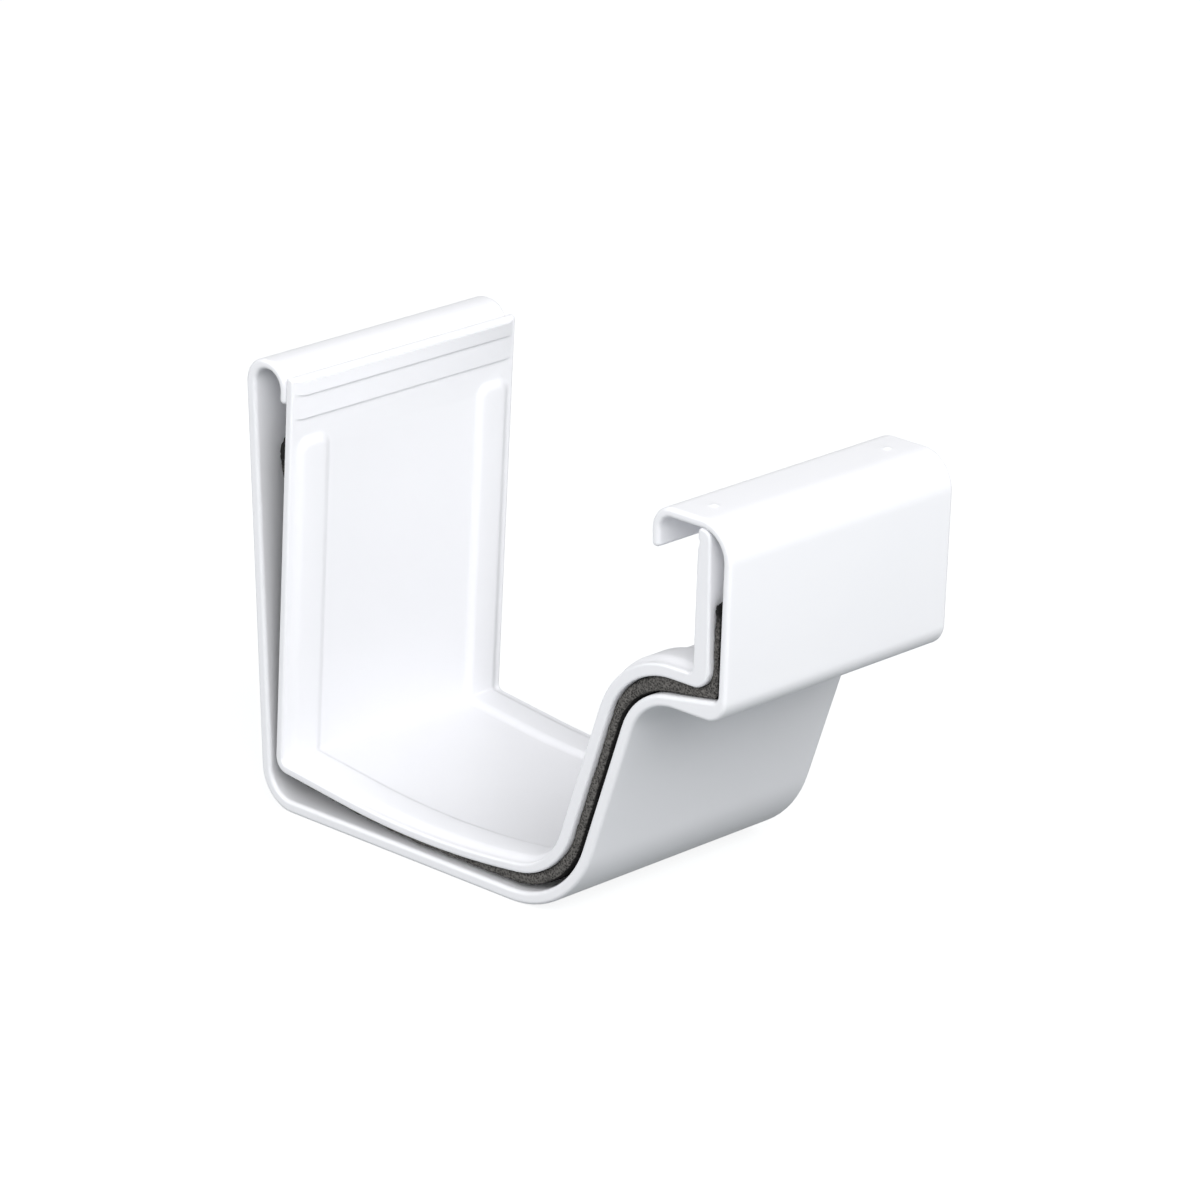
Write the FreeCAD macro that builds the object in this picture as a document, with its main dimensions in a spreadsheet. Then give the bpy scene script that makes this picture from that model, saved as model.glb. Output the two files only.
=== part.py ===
import FreeCAD, Part
import Sketcher
import math
import os

# Slip-joint connector for an ogee gutter: a moulded outer shell, a liner that snaps into it, and a
# foam seal strip near each end. Millimetres, X along the gutter, the front face towards -Y, +Z up.
# The origin is under the middle of the shell, on the plane that its floor stands on.

SIZES = [
    # Both mouldings
    ("joint_length", 60.4, "length of the shell and the liner along the gutter"),
    # Outer shell
    ("shell_wall", 2.6, "wall of the back, floor, slope and shelf"),
    ("front_wall", 2.0, "wall of the front face, its top and its curled lip"),
    ("hook_wall", 1.9, "wall of the rolled hook"),
    ("back_foot", 63.75, "origin to the back face, at floor level"),
    ("back_lean", 1.6, "degrees that the back face leans away"),
    ("floor_reach", 24.15, "origin to where the slope's plane meets the floor"),
    ("slope_lean", 20.3, "degrees that the slope leans out from upright"),
    ("shelf_height", 51.4, "underside of the ogee's shelf"),
    ("front_foot", 64.7, "origin to the front face, at the shelf's height"),
    ("front_lean", 2.6, "degrees that the front face leans out"),
    ("front_height", 90.7, "top of the front"),
    ("lip_reach", 45.75, "origin to the outer face of the curled lip"),
    ("lip_drop", 8.5, "front's top to the lower edge of the curled lip"),
    ("hook_height", 94.0, "top of the rolled hook"),
    ("hook_drop", 8.0, "hook's top to the lower edge of its lip"),
    ("hook_radius", 5.4, "outer bend of the hook"),
    ("back_radius", 8.5, "outer bend from floor to back"),
    ("floor_radius", 23.8, "outer bend from floor to slope"),
    ("hump_radius", 11.7, "outer bend from slope to shelf"),
    ("shelf_radius", 5.0, "outer bend from shelf to front face"),
    ("crown_radius", 7.5, "outer bend from front face to top"),
    ("lip_radius", 5.0, "outer bend from top to curled lip"),
    ("shell_round", 0.95, "rounding of the shell's ends"),
    ("stud_spacing", 46.8, "between the two low studs on the front's top"),
    ("stud_reach", 55.35, "origin to the studs, towards the front"),
    ("stud_radius", 0.9, "radius of a stud"),
    ("stud_rise", 0.3, "height of a stud"),
    # Liner
    ("liner_wall", 1.9, "wall of the liner's back and floor"),
    ("rib_wall", 2.6, "wall of the liner's slope and shelf"),
    ("upright_wall", 3.1, "wall of the liner's upright"),
    ("liner_lean", 3.8, "degrees that the liner's back leans in"),
    ("liner_drop", 2.2, "hook's top to the top of the liner's back"),
    ("foot_gap", 0.7, "liner's back plane to the shell's, at floor level"),
    ("floor_gap", 2.2, "room for the gutter under the lowest line of the liner's dished floor"),
    ("dish_reach", 16.5, "origin to that lowest line, towards the back"),
    ("dish_lean", 6.5, "degrees that the dished floor rises to the back and to the slope"),
    ("dish_radius", 210.0, "outer bend along that lowest line"),
    ("slope_gap", 3.6, "room for the gutter along the slope"),
    ("upright_gap", 3.5, "room for the gutter behind the front face"),
    ("heel_radius", 3.2, "outer bend from the liner's back to its floor"),
    ("rise_radius", 17.5, "inner bend of the liner from slope to shelf, on the shell's side"),
    ("upright_radius", 4.0, "outer bend from the liner's shelf to its upright"),
    ("crook_radius", 1.6, "inner bend from the liner's shelf to its upright"),
    ("liner_ease", 0.6, "lead-in chamfer of the liner's ends"),
    ("ledge_step", 0.45, "how far each ledge stands proud of the one below"),
    ("ledge_upper", 3.5, "liner's top to the upper ledge"),
    ("ledge_lower", 8.6, "liner's top to the lower ledge"),
    ("ledge_inset", 1.2, "ledges' ends to the liner's ends"),
    ("groove_radius", 0.55, "snap groove under the upright's top bead"),
    ("groove_drop", 2.8, "upright's top to the snap groove"),
    # Seal channels and strips
    ("channel_inset", 2.2, "liner's end to the seal channel"),
    ("channel_width", 7.4, "width of the seal channel"),
    ("channel_depth", 0.9, "depth of the channel, and rise of its back"),
    ("channel_rim", 0.5, "how far the raised back is wider than the channel, each side"),
    ("channel_corner", 3.0, "rounding of the raised back's upper corners"),
    ("channel_ease", 0.6, "chamfer of the raised back's rim"),
    ("channel_back_drop", 12.3, "top of the liner's back to the channel's end"),
    ("channel_front_drop", 15.2, "top of the upright to the channel's end"),
    ("strip_proud", 2.4, "foam standing proud of the slope, and its room on the shelf"),
    ("strip_front", 1.8, "foam standing proud of the upright"),
    ("strip_foot", 1.1, "foam standing proud of the back and the heel, where it is pressed"),
    ("strip_clear", 0.9, "foam to the shell's floor"),
    ("strip_side_gap", 0.2, "foam to the sides and ends of its channel"),
    ("strip_spread", 1.3, "how far the pressed foam spreads past its channel, each side"),
]

doc = FreeCAD.newDocument("gutter_connector")
sheet = doc.addObject("Spreadsheet::Sheet", "sizes")
for row, (alias, number, meaning) in enumerate(SIZES, start=1):
    sheet.set(f"A{row}", meaning)
    sheet.set(f"B{row}", str(number))
    sheet.setAlias(f"B{row}", alias)
doc.recompute()


class Size:
    """A number together with the sheet expression that drives it."""

    def __init__(self, value, text):
        self.value = value
        self.text = text

    def __add__(self, other):
        other = as_size(other)
        return Size(self.value + other.value, f"({self.text} + {other.text})")

    def __sub__(self, other):
        other = as_size(other)
        return Size(self.value - other.value, f"({self.text} - {other.text})")

    def __mul__(self, other):
        other = as_size(other)
        return Size(self.value * other.value, f"({self.text} * {other.text})")

    def __truediv__(self, other):
        other = as_size(other)
        return Size(self.value / other.value, f"({self.text} / {other.text})")

    def __neg__(self):
        return Size(-self.value, f"(0 - {self.text})")


def as_size(number):
    return number if isinstance(number, Size) else Size(float(number), str(number))


def size(alias):
    return Size(float(sheet.get(alias)), f"sizes.{alias}")


def cosine(angle):
    return Size(math.cos(math.radians(angle.value)), f"cos({angle.text})")


def sine(angle):
    return Size(math.sin(math.radians(angle.value)), f"sin({angle.text})")


def tangent(angle):
    return Size(math.tan(math.radians(angle.value)), f"tan({angle.text})")


def smaller(first, second):
    return Size(min(first.value, second.value), f"min({first.text}; {second.text})")


# Lines of a section

class Line:
    """An endless line in the section: its heading in degrees and its distance to the origin's left."""

    def __init__(self, heading, offset):
        self.heading = as_size(heading)
        self.offset = as_size(offset)

    def direction(self):
        angle = math.radians(self.heading.value)
        return FreeCAD.Vector(math.cos(angle), math.sin(angle), 0)

    def back(self, shift=0):
        """The same line the other way round, moved towards its own new left by shift."""
        return Line(self.heading + 180, -self.offset + shift)

    def left(self, shift):
        return Line(self.heading, self.offset + shift)


RIGHTWARDS, UPWARDS, LEFTWARDS, DOWNWARDS = 0, 90, 180, 270


def level(height, heading):
    """A horizontal line at a height, heading to the back (0) or to the front (180)."""
    return Line(heading, height if heading == RIGHTWARDS else -height)


def crossing(first, second):
    """The point where two lines meet."""
    a = math.radians(first.heading.value)
    b = math.radians(second.heading.value)
    turn = math.sin(b - a)
    along = (first.offset.value * math.cos(b) - second.offset.value * math.cos(a)) / turn
    across = (first.offset.value * math.sin(b) - second.offset.value * math.sin(a)) / turn
    return FreeCAD.Vector(along, across, 0)


def draw_outline(sketch, corners):
    """Draw a closed outline from (line, radius to the next line) pairs and bind its sizes."""
    count = len(corners)
    ends = []
    for index, (line, radius) in enumerate(corners):
        following = corners[(index + 1) % count][0]
        corner = crossing(line, following)
        turn = math.radians(following.heading.value - line.heading.value)
        turn = math.atan2(math.sin(turn), math.cos(turn))
        reach = radius.value * math.tan(abs(turn) / 2) if radius else 0.0
        into = corner - line.direction() * reach
        out = corner + following.direction() * reach
        ends.append((into, out, turn))

    lines = []
    for index in range(count):
        start = ends[index - 1][1]
        lines.append(sketch.addGeometry(Part.LineSegment(start, ends[index][0])))

    bound = []
    for index, (line, radius) in enumerate(corners):
        place = lines[index]
        heading = line.heading.value % 360
        flat = heading in (RIGHTWARDS, LEFTWARDS)
        upright = heading in (UPWARDS, DOWNWARDS)
        if flat:
            sketch.addConstraint(Sketcher.Constraint("Horizontal", place))
        elif upright:
            sketch.addConstraint(Sketcher.Constraint("Vertical", place))
        else:
            angle = math.radians(heading)
            number = sketch.addConstraint(Sketcher.Constraint("Angle", place, angle))
            bound.append((number, f"heading_{index}", line.heading))
        if flat and abs(line.offset.value) < 1e-9:
            sketch.addConstraint(Sketcher.Constraint("PointOnObject", place, 1, -1))
        elif flat:
            height = line.offset if heading == RIGHTWARDS else -line.offset
            number = sketch.addConstraint(Sketcher.Constraint("DistanceY", -1, 1, place, 1, height.value))
            bound.append((number, f"height_{index}", height))
        elif upright:
            reach = line.offset if heading == DOWNWARDS else -line.offset
            number = sketch.addConstraint(Sketcher.Constraint("DistanceX", -1, 1, place, 1, reach.value))
            bound.append((number, f"reach_{index}", reach))
        else:
            distance = line.offset if line.offset.value > 0 else -line.offset
            number = sketch.addConstraint(Sketcher.Constraint("Distance", -1, 1, place, distance.value))
            bound.append((number, f"distance_{index}", distance))

    for index, (line, radius) in enumerate(corners):
        place = lines[index]
        following = lines[(index + 1) % count]
        into, out, turn = ends[index]
        if not radius:
            sketch.addConstraint(Sketcher.Constraint("Coincident", place, 2, following, 1))
            continue
        side = 1 if turn > 0 else -1
        normal = FreeCAD.Vector(-line.direction().y, line.direction().x, 0) * side
        centre = into + normal * radius.value
        begin = math.atan2(into.y - centre.y, into.x - centre.x)
        finish = math.atan2(out.y - centre.y, out.x - centre.x)
        circle = Part.Circle(centre, FreeCAD.Vector(0, 0, 1), radius.value)
        if side > 0:
            arc = sketch.addGeometry(Part.ArcOfCircle(circle, begin, finish))
            near, far = 1, 2
        else:
            arc = sketch.addGeometry(Part.ArcOfCircle(circle, finish, begin))
            near, far = 2, 1
        sketch.addConstraint(Sketcher.Constraint("Tangent", place, 2, arc, near))
        sketch.addConstraint(Sketcher.Constraint("Tangent", arc, far, following, 1))
        number = sketch.addConstraint(Sketcher.Constraint("Radius", arc, radius.value))
        bound.append((number, f"bend_{index}", radius))

    for number, name, amount in bound:
        sketch.renameConstraint(number, name)
        sketch.setExpression(f"Constraints.{name}", amount.text)


# Bodies, sketches and features

PAD = "PartDesign::Pad"
POCKET = "PartDesign::Pocket"
FILLET = "PartDesign::Fillet"
CHAMFER = "PartDesign::Chamfer"
NEAR = 1e-3


def new_body(label):
    body = doc.addObject("PartDesign::Body", label)
    body.Label = label
    return body


def new_sketch(body, name, role, offset=None):
    """A sketch on one of the body's own origin planes, moved along that plane's normal."""
    plane = [feature for feature in body.Origin.OriginFeatures if feature.Role == role][0]
    sketch = body.newObject("Sketcher::SketchObject", name)
    sketch.AttachmentSupport = [(plane, "")]
    sketch.MapMode = "FlatFace"
    if offset:
        sketch.setExpression("AttachmentOffset.Base.z", offset.text)
    return sketch


def section(body, name, corners, offset=None):
    """A closed outline across the gutter, at a distance along it."""
    sketch = new_sketch(body, name, "YZ_Plane", offset)
    draw_outline(sketch, corners)
    return sketch


def extrude(body, kind, name, sketch, length):
    """A pad or pocket of a sketch, half of its length to each side."""
    feature = body.newObject(kind, name)
    feature.Profile = sketch
    feature.SideType = "Symmetric"
    feature.setExpression("Length", length.text)
    doc.recompute()
    return feature


def draw_circle(sketch, name, across, up, radius):
    """A circle whose centre and radius are bound to the sheet."""
    centre = FreeCAD.Vector(across.value, up.value, 0)
    circle = sketch.addGeometry(Part.Circle(centre, FreeCAD.Vector(0, 0, 1), radius.value))
    bound = [
        (Sketcher.Constraint("Radius", circle, radius.value), "radius", radius),
        (Sketcher.Constraint("DistanceX", -1, 1, circle, 3, across.value), "across", across),
        (Sketcher.Constraint("DistanceY", -1, 1, circle, 3, up.value), "up", up),
    ]
    for constraint, word, amount in bound:
        number = sketch.addConstraint(constraint)
        sketch.renameConstraint(number, f"{name}_{word}")
        sketch.setExpression(f"Constraints.{name}_{word}", amount.text)


def edges_across(shape, places):
    """The edges that lie in planes across the gutter, at the given places, with their names."""
    found = []
    for number, edge in enumerate(shape.Edges, start=1):
        box = edge.BoundBox
        if box.XLength < NEAR and any(abs(box.Center.x - place) < NEAR for place in places):
            found.append((f"Edge{number}", edge))
    return found


def dress(body, kind, name, names, amount):
    """A fillet or a chamfer on named edges of the body's last feature."""
    base = body.Tip
    feature = body.newObject(kind, name)
    feature.Base = (base, names)
    feature.setExpression("Radius" if kind == FILLET else "Size", amount.text)
    doc.recompute()


def bevel_ends(body, name, length, amount):
    """Bevel every edge on the two end faces of an extruded section."""
    ends = (-length.value / 2, length.value / 2)
    names = [edge_name for edge_name, edge in edges_across(body.Tip.Shape, ends)]
    dress(body, CHAMFER, name, names, amount)


def soften_ends(body, name, length, radius):
    """Bevel the ends, then bevel the bevel's own edges: three flats that hug a round of the radius."""
    first = radius * 0.586
    second = radius * 0.215
    bevel_ends(body, f"{name}_bevel", length, first)
    end = length.value / 2
    inset = end - first.value
    places = (-end, -inset, inset, end)
    names = [edge_name for edge_name, edge in edges_across(body.Tip.Shape, places)]
    dress(body, CHAMFER, f"{name}_round", names, second)


# Lines that the shell and the liner share

wall = size("shell_wall")
front_wall = size("front_wall")
hook_wall = size("hook_wall")
liner_wall = size("liner_wall")
rib_wall = size("rib_wall")
upright_wall = size("upright_wall")
strip_proud = size("strip_proud")
back_lean = size("back_lean")
slope_lean = size("slope_lean")
front_lean = size("front_lean")
liner_lean = size("liner_lean")
shelf_height = size("shelf_height")
front_height = size("front_height")
hook_height = size("hook_height")
lip_reach = size("lip_reach")

back_outer = Line(as_size(DOWNWARDS) - back_lean, size("back_foot") * cosine(back_lean))
floor_outer = level(as_size(0), LEFTWARDS)
slope_outer = Line(slope_lean + UPWARDS, size("floor_reach") * cosine(slope_lean))
shelf_outer = level(shelf_height, LEFTWARDS)
front_distance = size("front_foot") * cosine(front_lean) - shelf_height * sine(front_lean)
front_outer = Line(front_lean + UPWARDS, front_distance)
top_inner_height = front_height - front_wall
nook_radius = size("shelf_radius") - wall
liner_top = hook_height - size("liner_drop")
channel_back_top = liner_top - size("channel_back_drop")
channel_front_top = top_inner_height - size("channel_front_drop")

liner_foot = size("back_foot") - wall / cosine(back_lean) - size("foot_gap")
liner_back = Line(liner_lean + DOWNWARDS, liner_foot * cosine(liner_lean))
liner_slope = slope_outer.left(-wall - size("slope_gap"))
liner_shelf = level(shelf_height + wall + strip_proud, LEFTWARDS)
liner_upright = front_outer.left(-front_wall - size("upright_gap"))

dish_lean = size("dish_lean")
dish_radius = size("dish_radius")
liner_floor_bend = size("floor_radius") - wall - size("slope_gap")
heel_radius = size("heel_radius")
rise_radius = size("rise_radius")
upright_radius = size("upright_radius")
crook_radius = size("crook_radius")


def dish_side(lean):
    """A tangent to the liner's dished underside that leans up to the back or, below zero, the front."""
    low = wall + size("floor_gap")
    sag = dish_radius * (as_size(1) - cosine(lean))
    return Line(lean + LEFTWARDS, size("dish_reach") * sine(lean) - low * cosine(lean) + sag)


liner_heel = dish_side(dish_lean)
liner_toe = dish_side(-dish_lean)


# Outer shell

def build_shell():
    body = new_body("outer_shell")
    edge = front_wall * 0.45
    tip = hook_wall * 0.45
    spread = tangent(back_lean) + tangent(liner_lean)
    hook_room = size("back_foot") - liner_foot - wall - hook_wall + (hook_height - hook_wall) * spread
    hook_inner = smaller(size("hook_radius") - hook_wall, hook_room * 0.47)
    hook_outer = hook_inner + hook_wall
    corners = [
        (liner_back.back(), hook_outer),
        (level(hook_height, RIGHTWARDS), hook_outer),
        (back_outer, size("back_radius")),
        (floor_outer, size("floor_radius")),
        (slope_outer, size("hump_radius")),
        (shelf_outer, size("shelf_radius")),
        (front_outer, size("crown_radius")),
        (level(front_height, RIGHTWARDS), size("lip_radius")),
        (Line(DOWNWARDS, -lip_reach), edge),
        (level(front_height - size("lip_drop"), LEFTWARDS), edge),
        (Line(UPWARDS, lip_reach + front_wall), size("lip_radius") - front_wall),
        (level(top_inner_height, LEFTWARDS), size("crown_radius") - front_wall),
        (front_outer.back(front_wall), nook_radius),
        (shelf_outer.back(wall), size("hump_radius") + wall),
        (slope_outer.back(wall), size("floor_radius") - wall),
        (floor_outer.back(wall), size("back_radius") - wall),
        (back_outer.back(wall), hook_inner),
        (level(hook_height - hook_wall, LEFTWARDS), hook_inner),
        (liner_back.left(hook_wall), tip),
        (level(hook_height - size("hook_drop"), LEFTWARDS), tip),
    ]
    length = size("joint_length")
    sketch = section(body, "shell_section", corners)
    extrude(body, PAD, "shell_profile", sketch, length)
    rounding = smaller(size("shell_round"), smaller(hook_wall, front_wall) * 0.5)
    soften_ends(body, "shell_ends", length, rounding)
    add_studs(body)
    return body


def add_studs(body):
    """Two low studs on the front's top, one near each end."""
    root = front_wall / 2
    sketch = new_sketch(body, "stud_outlines", "XY_Plane", front_height - root)
    for name, along in (("left", -size("stud_spacing") / 2), ("right", size("stud_spacing") / 2)):
        draw_circle(sketch, name, along, -size("stud_reach"), size("stud_radius"))
    pad = body.newObject(PAD, "studs")
    pad.Profile = sketch
    pad.setExpression("Length", (root + size("stud_rise")).text)
    doc.recompute()


# Liner

def liner_inside(rise=0):
    """The liner's lines on the water side, from the upright to the back, moved in by rise."""
    return [
        liner_upright.back(upright_wall + rise),
        liner_shelf.back(rib_wall + rise),
        liner_slope.back(rib_wall + rise),
        liner_toe.back(liner_wall + rise),
        liner_heel.back(liner_wall + rise),
        liner_back.back(liner_wall + rise),
    ]


def liner_outside(depth=0):
    """The liner's lines on the shell's side, from the back to the upright, moved in by depth."""
    lines = [liner_back, liner_heel, liner_toe, liner_slope, liner_shelf, liner_upright]
    return [line.left(-as_size(depth)) for line in lines]


def outside_bends(depth=0):
    """Bends between the liner's outside lines, for lines moved in by depth."""
    depth = as_size(depth)
    return [heel_radius - depth, dish_radius - depth, liner_floor_bend - depth,
            rise_radius + depth, upright_radius - depth]


def inside_bends(rise=0):
    """Bends between the liner's inside lines, for lines moved in by rise."""
    rise = as_size(rise)
    floor_bend = liner_floor_bend - rib_wall
    return [crook_radius - rise, rise_radius + rib_wall + rise, floor_bend - rise,
            dish_radius - liner_wall - rise, heel_radius - liner_wall - rise]


def ribbon(forth, forth_bends, end, back, back_bends, start):
    """Outline of a band: lines forth, an end, lines back and a start, with their bends."""
    corners = list(zip(forth, forth_bends + [None]))
    corners.append((end, None))
    corners.extend(zip(back, back_bends + [None]))
    corners.append((start, None))
    return corners


def build_liner():
    body = new_body("inner_liner")
    length = size("joint_length")
    bead_front = upright_wall * 0.7
    bead_back = upright_wall * 0.28
    brim = liner_wall * 0.45
    forth = liner_outside()
    back = liner_inside()
    corners = list(zip(forth, outside_bends() + [bead_front]))
    corners.append((level(top_inner_height, RIGHTWARDS), bead_back))
    corners.extend(zip(back, inside_bends() + [brim]))
    corners.append((level(liner_top, RIGHTWARDS), brim))
    sketch = section(body, "liner_section", corners)
    extrude(body, PAD, "liner_profile", sketch, length)
    easing = smaller(size("liner_ease"), smaller(liner_wall, rib_wall) * 0.4)
    bevel_ends(body, "liner_ends", length, easing)
    add_ledges(body)
    add_channels(body)
    add_groove(body)
    return body


def add_ledges(body):
    """Two ledges across the top of the back, on the water side."""
    step = size("ledge_step")
    corners = [
        (level(liner_top - size("ledge_lower"), LEFTWARDS), step / 3),
        (liner_back.back(liner_wall + step), None),
        (level(liner_top - size("ledge_upper"), LEFTWARDS), step / 3),
        (liner_back.back(liner_wall + step * 2), step * 2),
        (level(liner_top - liner_wall * 0.45, RIGHTWARDS), None),
        (liner_back.left(-liner_wall / 2), None),
    ]
    sketch = section(body, "ledge_section", corners)
    length = size("joint_length") - size("ledge_inset") * 2
    extrude(body, PAD, "ledges", sketch, length)


def channel_middle():
    return (size("joint_length") - size("channel_width")) / 2 - size("channel_inset")


def add_channels(body):
    """Raise the water side and hollow the shell's side, so that each strip has a channel."""
    depth = size("channel_depth")
    middle = liner_outside(liner_wall / 2)
    raised = ribbon(
        liner_inside(depth), inside_bends(depth),
        level(channel_back_top, RIGHTWARDS),
        middle, outside_bends(liner_wall / 2),
        level(channel_front_top, RIGHTWARDS))
    beyond = [line.back() for line in reversed(liner_outside(-depth))]
    hollow = ribbon(
        liner_outside(depth), outside_bends(depth),
        level(channel_front_top, LEFTWARDS),
        beyond, list(reversed(outside_bends(-depth))),
        level(channel_back_top, LEFTWARDS))
    width = size("channel_width")
    for side, place in (("left", -channel_middle()), ("right", channel_middle())):
        sketch = section(body, f"channel_back_{side}", raised, place)
        extrude(body, PAD, f"raised_back_{side}", sketch, width + size("channel_rim") * 2)
        soften_raised_back(body, side, place)
    for side, place in (("left", -channel_middle()), ("right", channel_middle())):
        sketch = section(body, f"channel_floor_{side}", hollow, place)
        before = body.Tip.Shape.Volume
        extrude(body, POCKET, f"channel_{side}", sketch, width)
        if body.Tip.Shape.Volume >= before:
            raise RuntimeError(f"the {side} channel cut nothing")


def soften_raised_back(body, side, place):
    """Round the upper corners of a raised back, then ease its rim from end to end."""
    reach = size("channel_width") / 2 + size("channel_rim")
    sides = ((place - reach).value, (place + reach).value)
    tops = (channel_back_top.value, channel_front_top.value)
    names = []
    for edge_name, edge in edges_across(body.Tip.Shape, sides):
        box = edge.BoundBox
        if box.ZLength < NEAR and any(abs(box.Center.z - top) < NEAR for top in tops):
            names.append(edge_name)
    dress(body, FILLET, f"raised_corners_{side}", names, size("channel_corner"))

    bend = dish_radius - liner_wall - size("channel_depth")
    names = []
    for edge_name, edge in edges_across(body.Tip.Shape, sides):
        if isinstance(edge.Curve, Part.Circle) and abs(edge.Curve.Radius - bend.value) < NEAR:
            names.append(edge_name)
    dress(body, CHAMFER, f"raised_rim_{side}", names, size("channel_ease"))


def add_groove(body):
    """A shallow groove under the upright's top, on the water side, that leaves a snap bead."""
    inner = liner_upright.back(upright_wall)
    height = top_inner_height - size("groove_drop")
    across = (inner.offset - height * sine(front_lean)) / cosine(front_lean)
    sketch = new_sketch(body, "groove_section", "YZ_Plane")
    draw_circle(sketch, "groove", across, height, size("groove_radius"))
    before = body.Tip.Shape.Volume
    extrude(body, POCKET, "snap_groove", sketch, size("joint_length"))
    if body.Tip.Shape.Volume >= before:
        raise RuntimeError("the snap groove cut nothing")


# Foam seal strips

def build_strip(label, place):
    """A foam strip: its root fills the channel, and the rest is pressed out wider against the shell."""
    body = new_body(label)
    gap = size("strip_side_gap")
    foot = size("strip_foot")
    outer = [
        liner_upright.back(-size("strip_front")),
        liner_shelf.back(-strip_proud),
        liner_slope.back(-strip_proud),
        level(wall + size("strip_clear"), RIGHTWARDS),
        liner_heel.back(-foot),
        liner_back.back(-foot),
    ]
    outer_bends = [nook_radius, rise_radius - strip_proud, liner_floor_bend + strip_proud,
                   dish_radius, heel_radius + foot]
    root_width = size("channel_width") - gap * 2
    layers = [
        ("root", size("channel_depth"), root_width),
        ("spread", as_size(0), root_width + size("strip_spread") * 2),
    ]
    for name, depth, width in layers:
        corners = ribbon(
            liner_outside(depth), outside_bends(depth),
            level(channel_front_top - gap, LEFTWARDS),
            outer, outer_bends,
            level(channel_back_top - gap, LEFTWARDS))
        sketch = section(body, f"{label}_{name}_section", corners, place)
        extrude(body, PAD, f"{label}_{name}", sketch, width)
    return body


def check(pieces):
    """Stop if any object failed or any piece is not one sound solid."""
    for item in doc.Objects:
        if "Invalid" in item.State or "Error" in item.State:
            raise RuntimeError(f"{item.Name} failed: {item.State}")
    for piece in pieces:
        shape = piece.Shape
        if shape.isNull() or not shape.isValid() or len(shape.Solids) != 1:
            raise RuntimeError(f"{piece.Label} is not one sound solid")


pieces = [
    build_shell(),
    build_liner(),
    build_strip("seal_strip_left", -channel_middle()),
    build_strip("seal_strip_right", channel_middle()),
]
doc.recompute()
check(pieces)
os.makedirs("parts", exist_ok=True)
for piece in pieces:
    piece.Shape.exportStep(f"parts/{piece.Label}.step")
    box = piece.Shape.optimalBoundingBox(False)
    print(f"{piece.Label}: {box.XLength:.1f} x {box.YLength:.1f} x {box.ZLength:.1f} mm")
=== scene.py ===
# %% [markdown]
# # A gutter connector, piece by piece
# This connector joins two lengths of ogee gutter. It is two glossy vinyl mouldings, one nested in the
# other, with a foam seal strip near each end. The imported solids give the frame: X runs along the gutter,
# the front face looks to -Y and +Z is up. Each piece below is drawn afresh in its solid's place and, but
# for a few finer forms, to its sizes, so that edges and surfaces can be as soft as the moulded ones.

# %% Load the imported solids
import math
from collections import namedtuple

import bmesh
import bpy
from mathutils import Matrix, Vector, noise


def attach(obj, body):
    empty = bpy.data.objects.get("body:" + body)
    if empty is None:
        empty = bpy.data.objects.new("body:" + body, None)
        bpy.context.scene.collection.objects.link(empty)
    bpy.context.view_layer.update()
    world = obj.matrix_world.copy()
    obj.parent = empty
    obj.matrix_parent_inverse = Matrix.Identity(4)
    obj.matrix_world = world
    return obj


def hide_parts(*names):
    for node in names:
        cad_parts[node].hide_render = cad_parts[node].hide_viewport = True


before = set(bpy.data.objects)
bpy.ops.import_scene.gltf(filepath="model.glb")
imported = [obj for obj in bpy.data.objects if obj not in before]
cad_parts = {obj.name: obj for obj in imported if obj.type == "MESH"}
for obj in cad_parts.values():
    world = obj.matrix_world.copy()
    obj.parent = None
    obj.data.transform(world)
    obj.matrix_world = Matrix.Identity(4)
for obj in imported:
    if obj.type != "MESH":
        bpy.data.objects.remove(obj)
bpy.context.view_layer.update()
print("solids:", ", ".join(sorted(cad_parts)))

# %% [markdown]
# ## Drawing a section
# A bent wall is easiest to think of as endless lines that cross: each line has a heading and a distance,
# and each crossing gets a bend. A pen then draws the outline with two operators. It extrudes its last point
# along a straight run, and it spins that point about the centre of a bend. This gives true arcs that
# meet the runs without a kink, which a bevelled corner only comes near. Lengths are in millimetres until a
# piece is finished, and angles are in degrees.

# %% Lines of a section
Line = namedtuple("Line", "heading offset")
TO_BACK, UPWARDS, TO_FRONT, DOWNWARDS = 0.0, 90.0, 180.0, 270.0


def cosine(angle):
    return math.cos(math.radians(angle))


def sine(angle):
    return math.sin(math.radians(angle))


def level(height, heading):
    """A level line at a height, drawn to the back or to the front."""
    return Line(heading, height if heading == TO_BACK else -height)


def through(point, heading):
    """The line with a heading that passes through a point."""
    return Line(heading, point[1] * cosine(heading) - point[0] * sine(heading))


def moved(line, left):
    """The same line, further to its left."""
    return Line(line.heading, line.offset + left)


def turned(line, left=0.0):
    """The same line drawn the other way, and then moved to its new left."""
    return Line(line.heading + 180.0, -line.offset + left)


def ahead_of(line):
    return Vector((cosine(line.heading), sine(line.heading)))


def crossing(first, second):
    """The point where two lines cross."""
    turn = sine(second.heading - first.heading)
    across = first.offset * cosine(second.heading) - second.offset * cosine(first.heading)
    up = first.offset * sine(second.heading) - second.offset * sine(first.heading)
    return Vector((across, up)) / turn


print("a level run to the front points to", [round(value, 3) for value in ahead_of(level(0.0, TO_FRONT))])

# %% The pen
NEAR = 0.001
DEGREES_A_STEP, LENGTH_A_STEP, FEWEST_STEPS = 5.0, 4.0, 3


def bend_steps(bend, turn):
    """How many straight steps stand for a bend, by its angle and by its length."""
    by_angle = round(abs(math.degrees(turn)) / DEGREES_A_STEP)
    by_length = round(bend * abs(turn) / LENGTH_A_STEP)
    return max(FEWEST_STEPS, by_angle, by_length)


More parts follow.
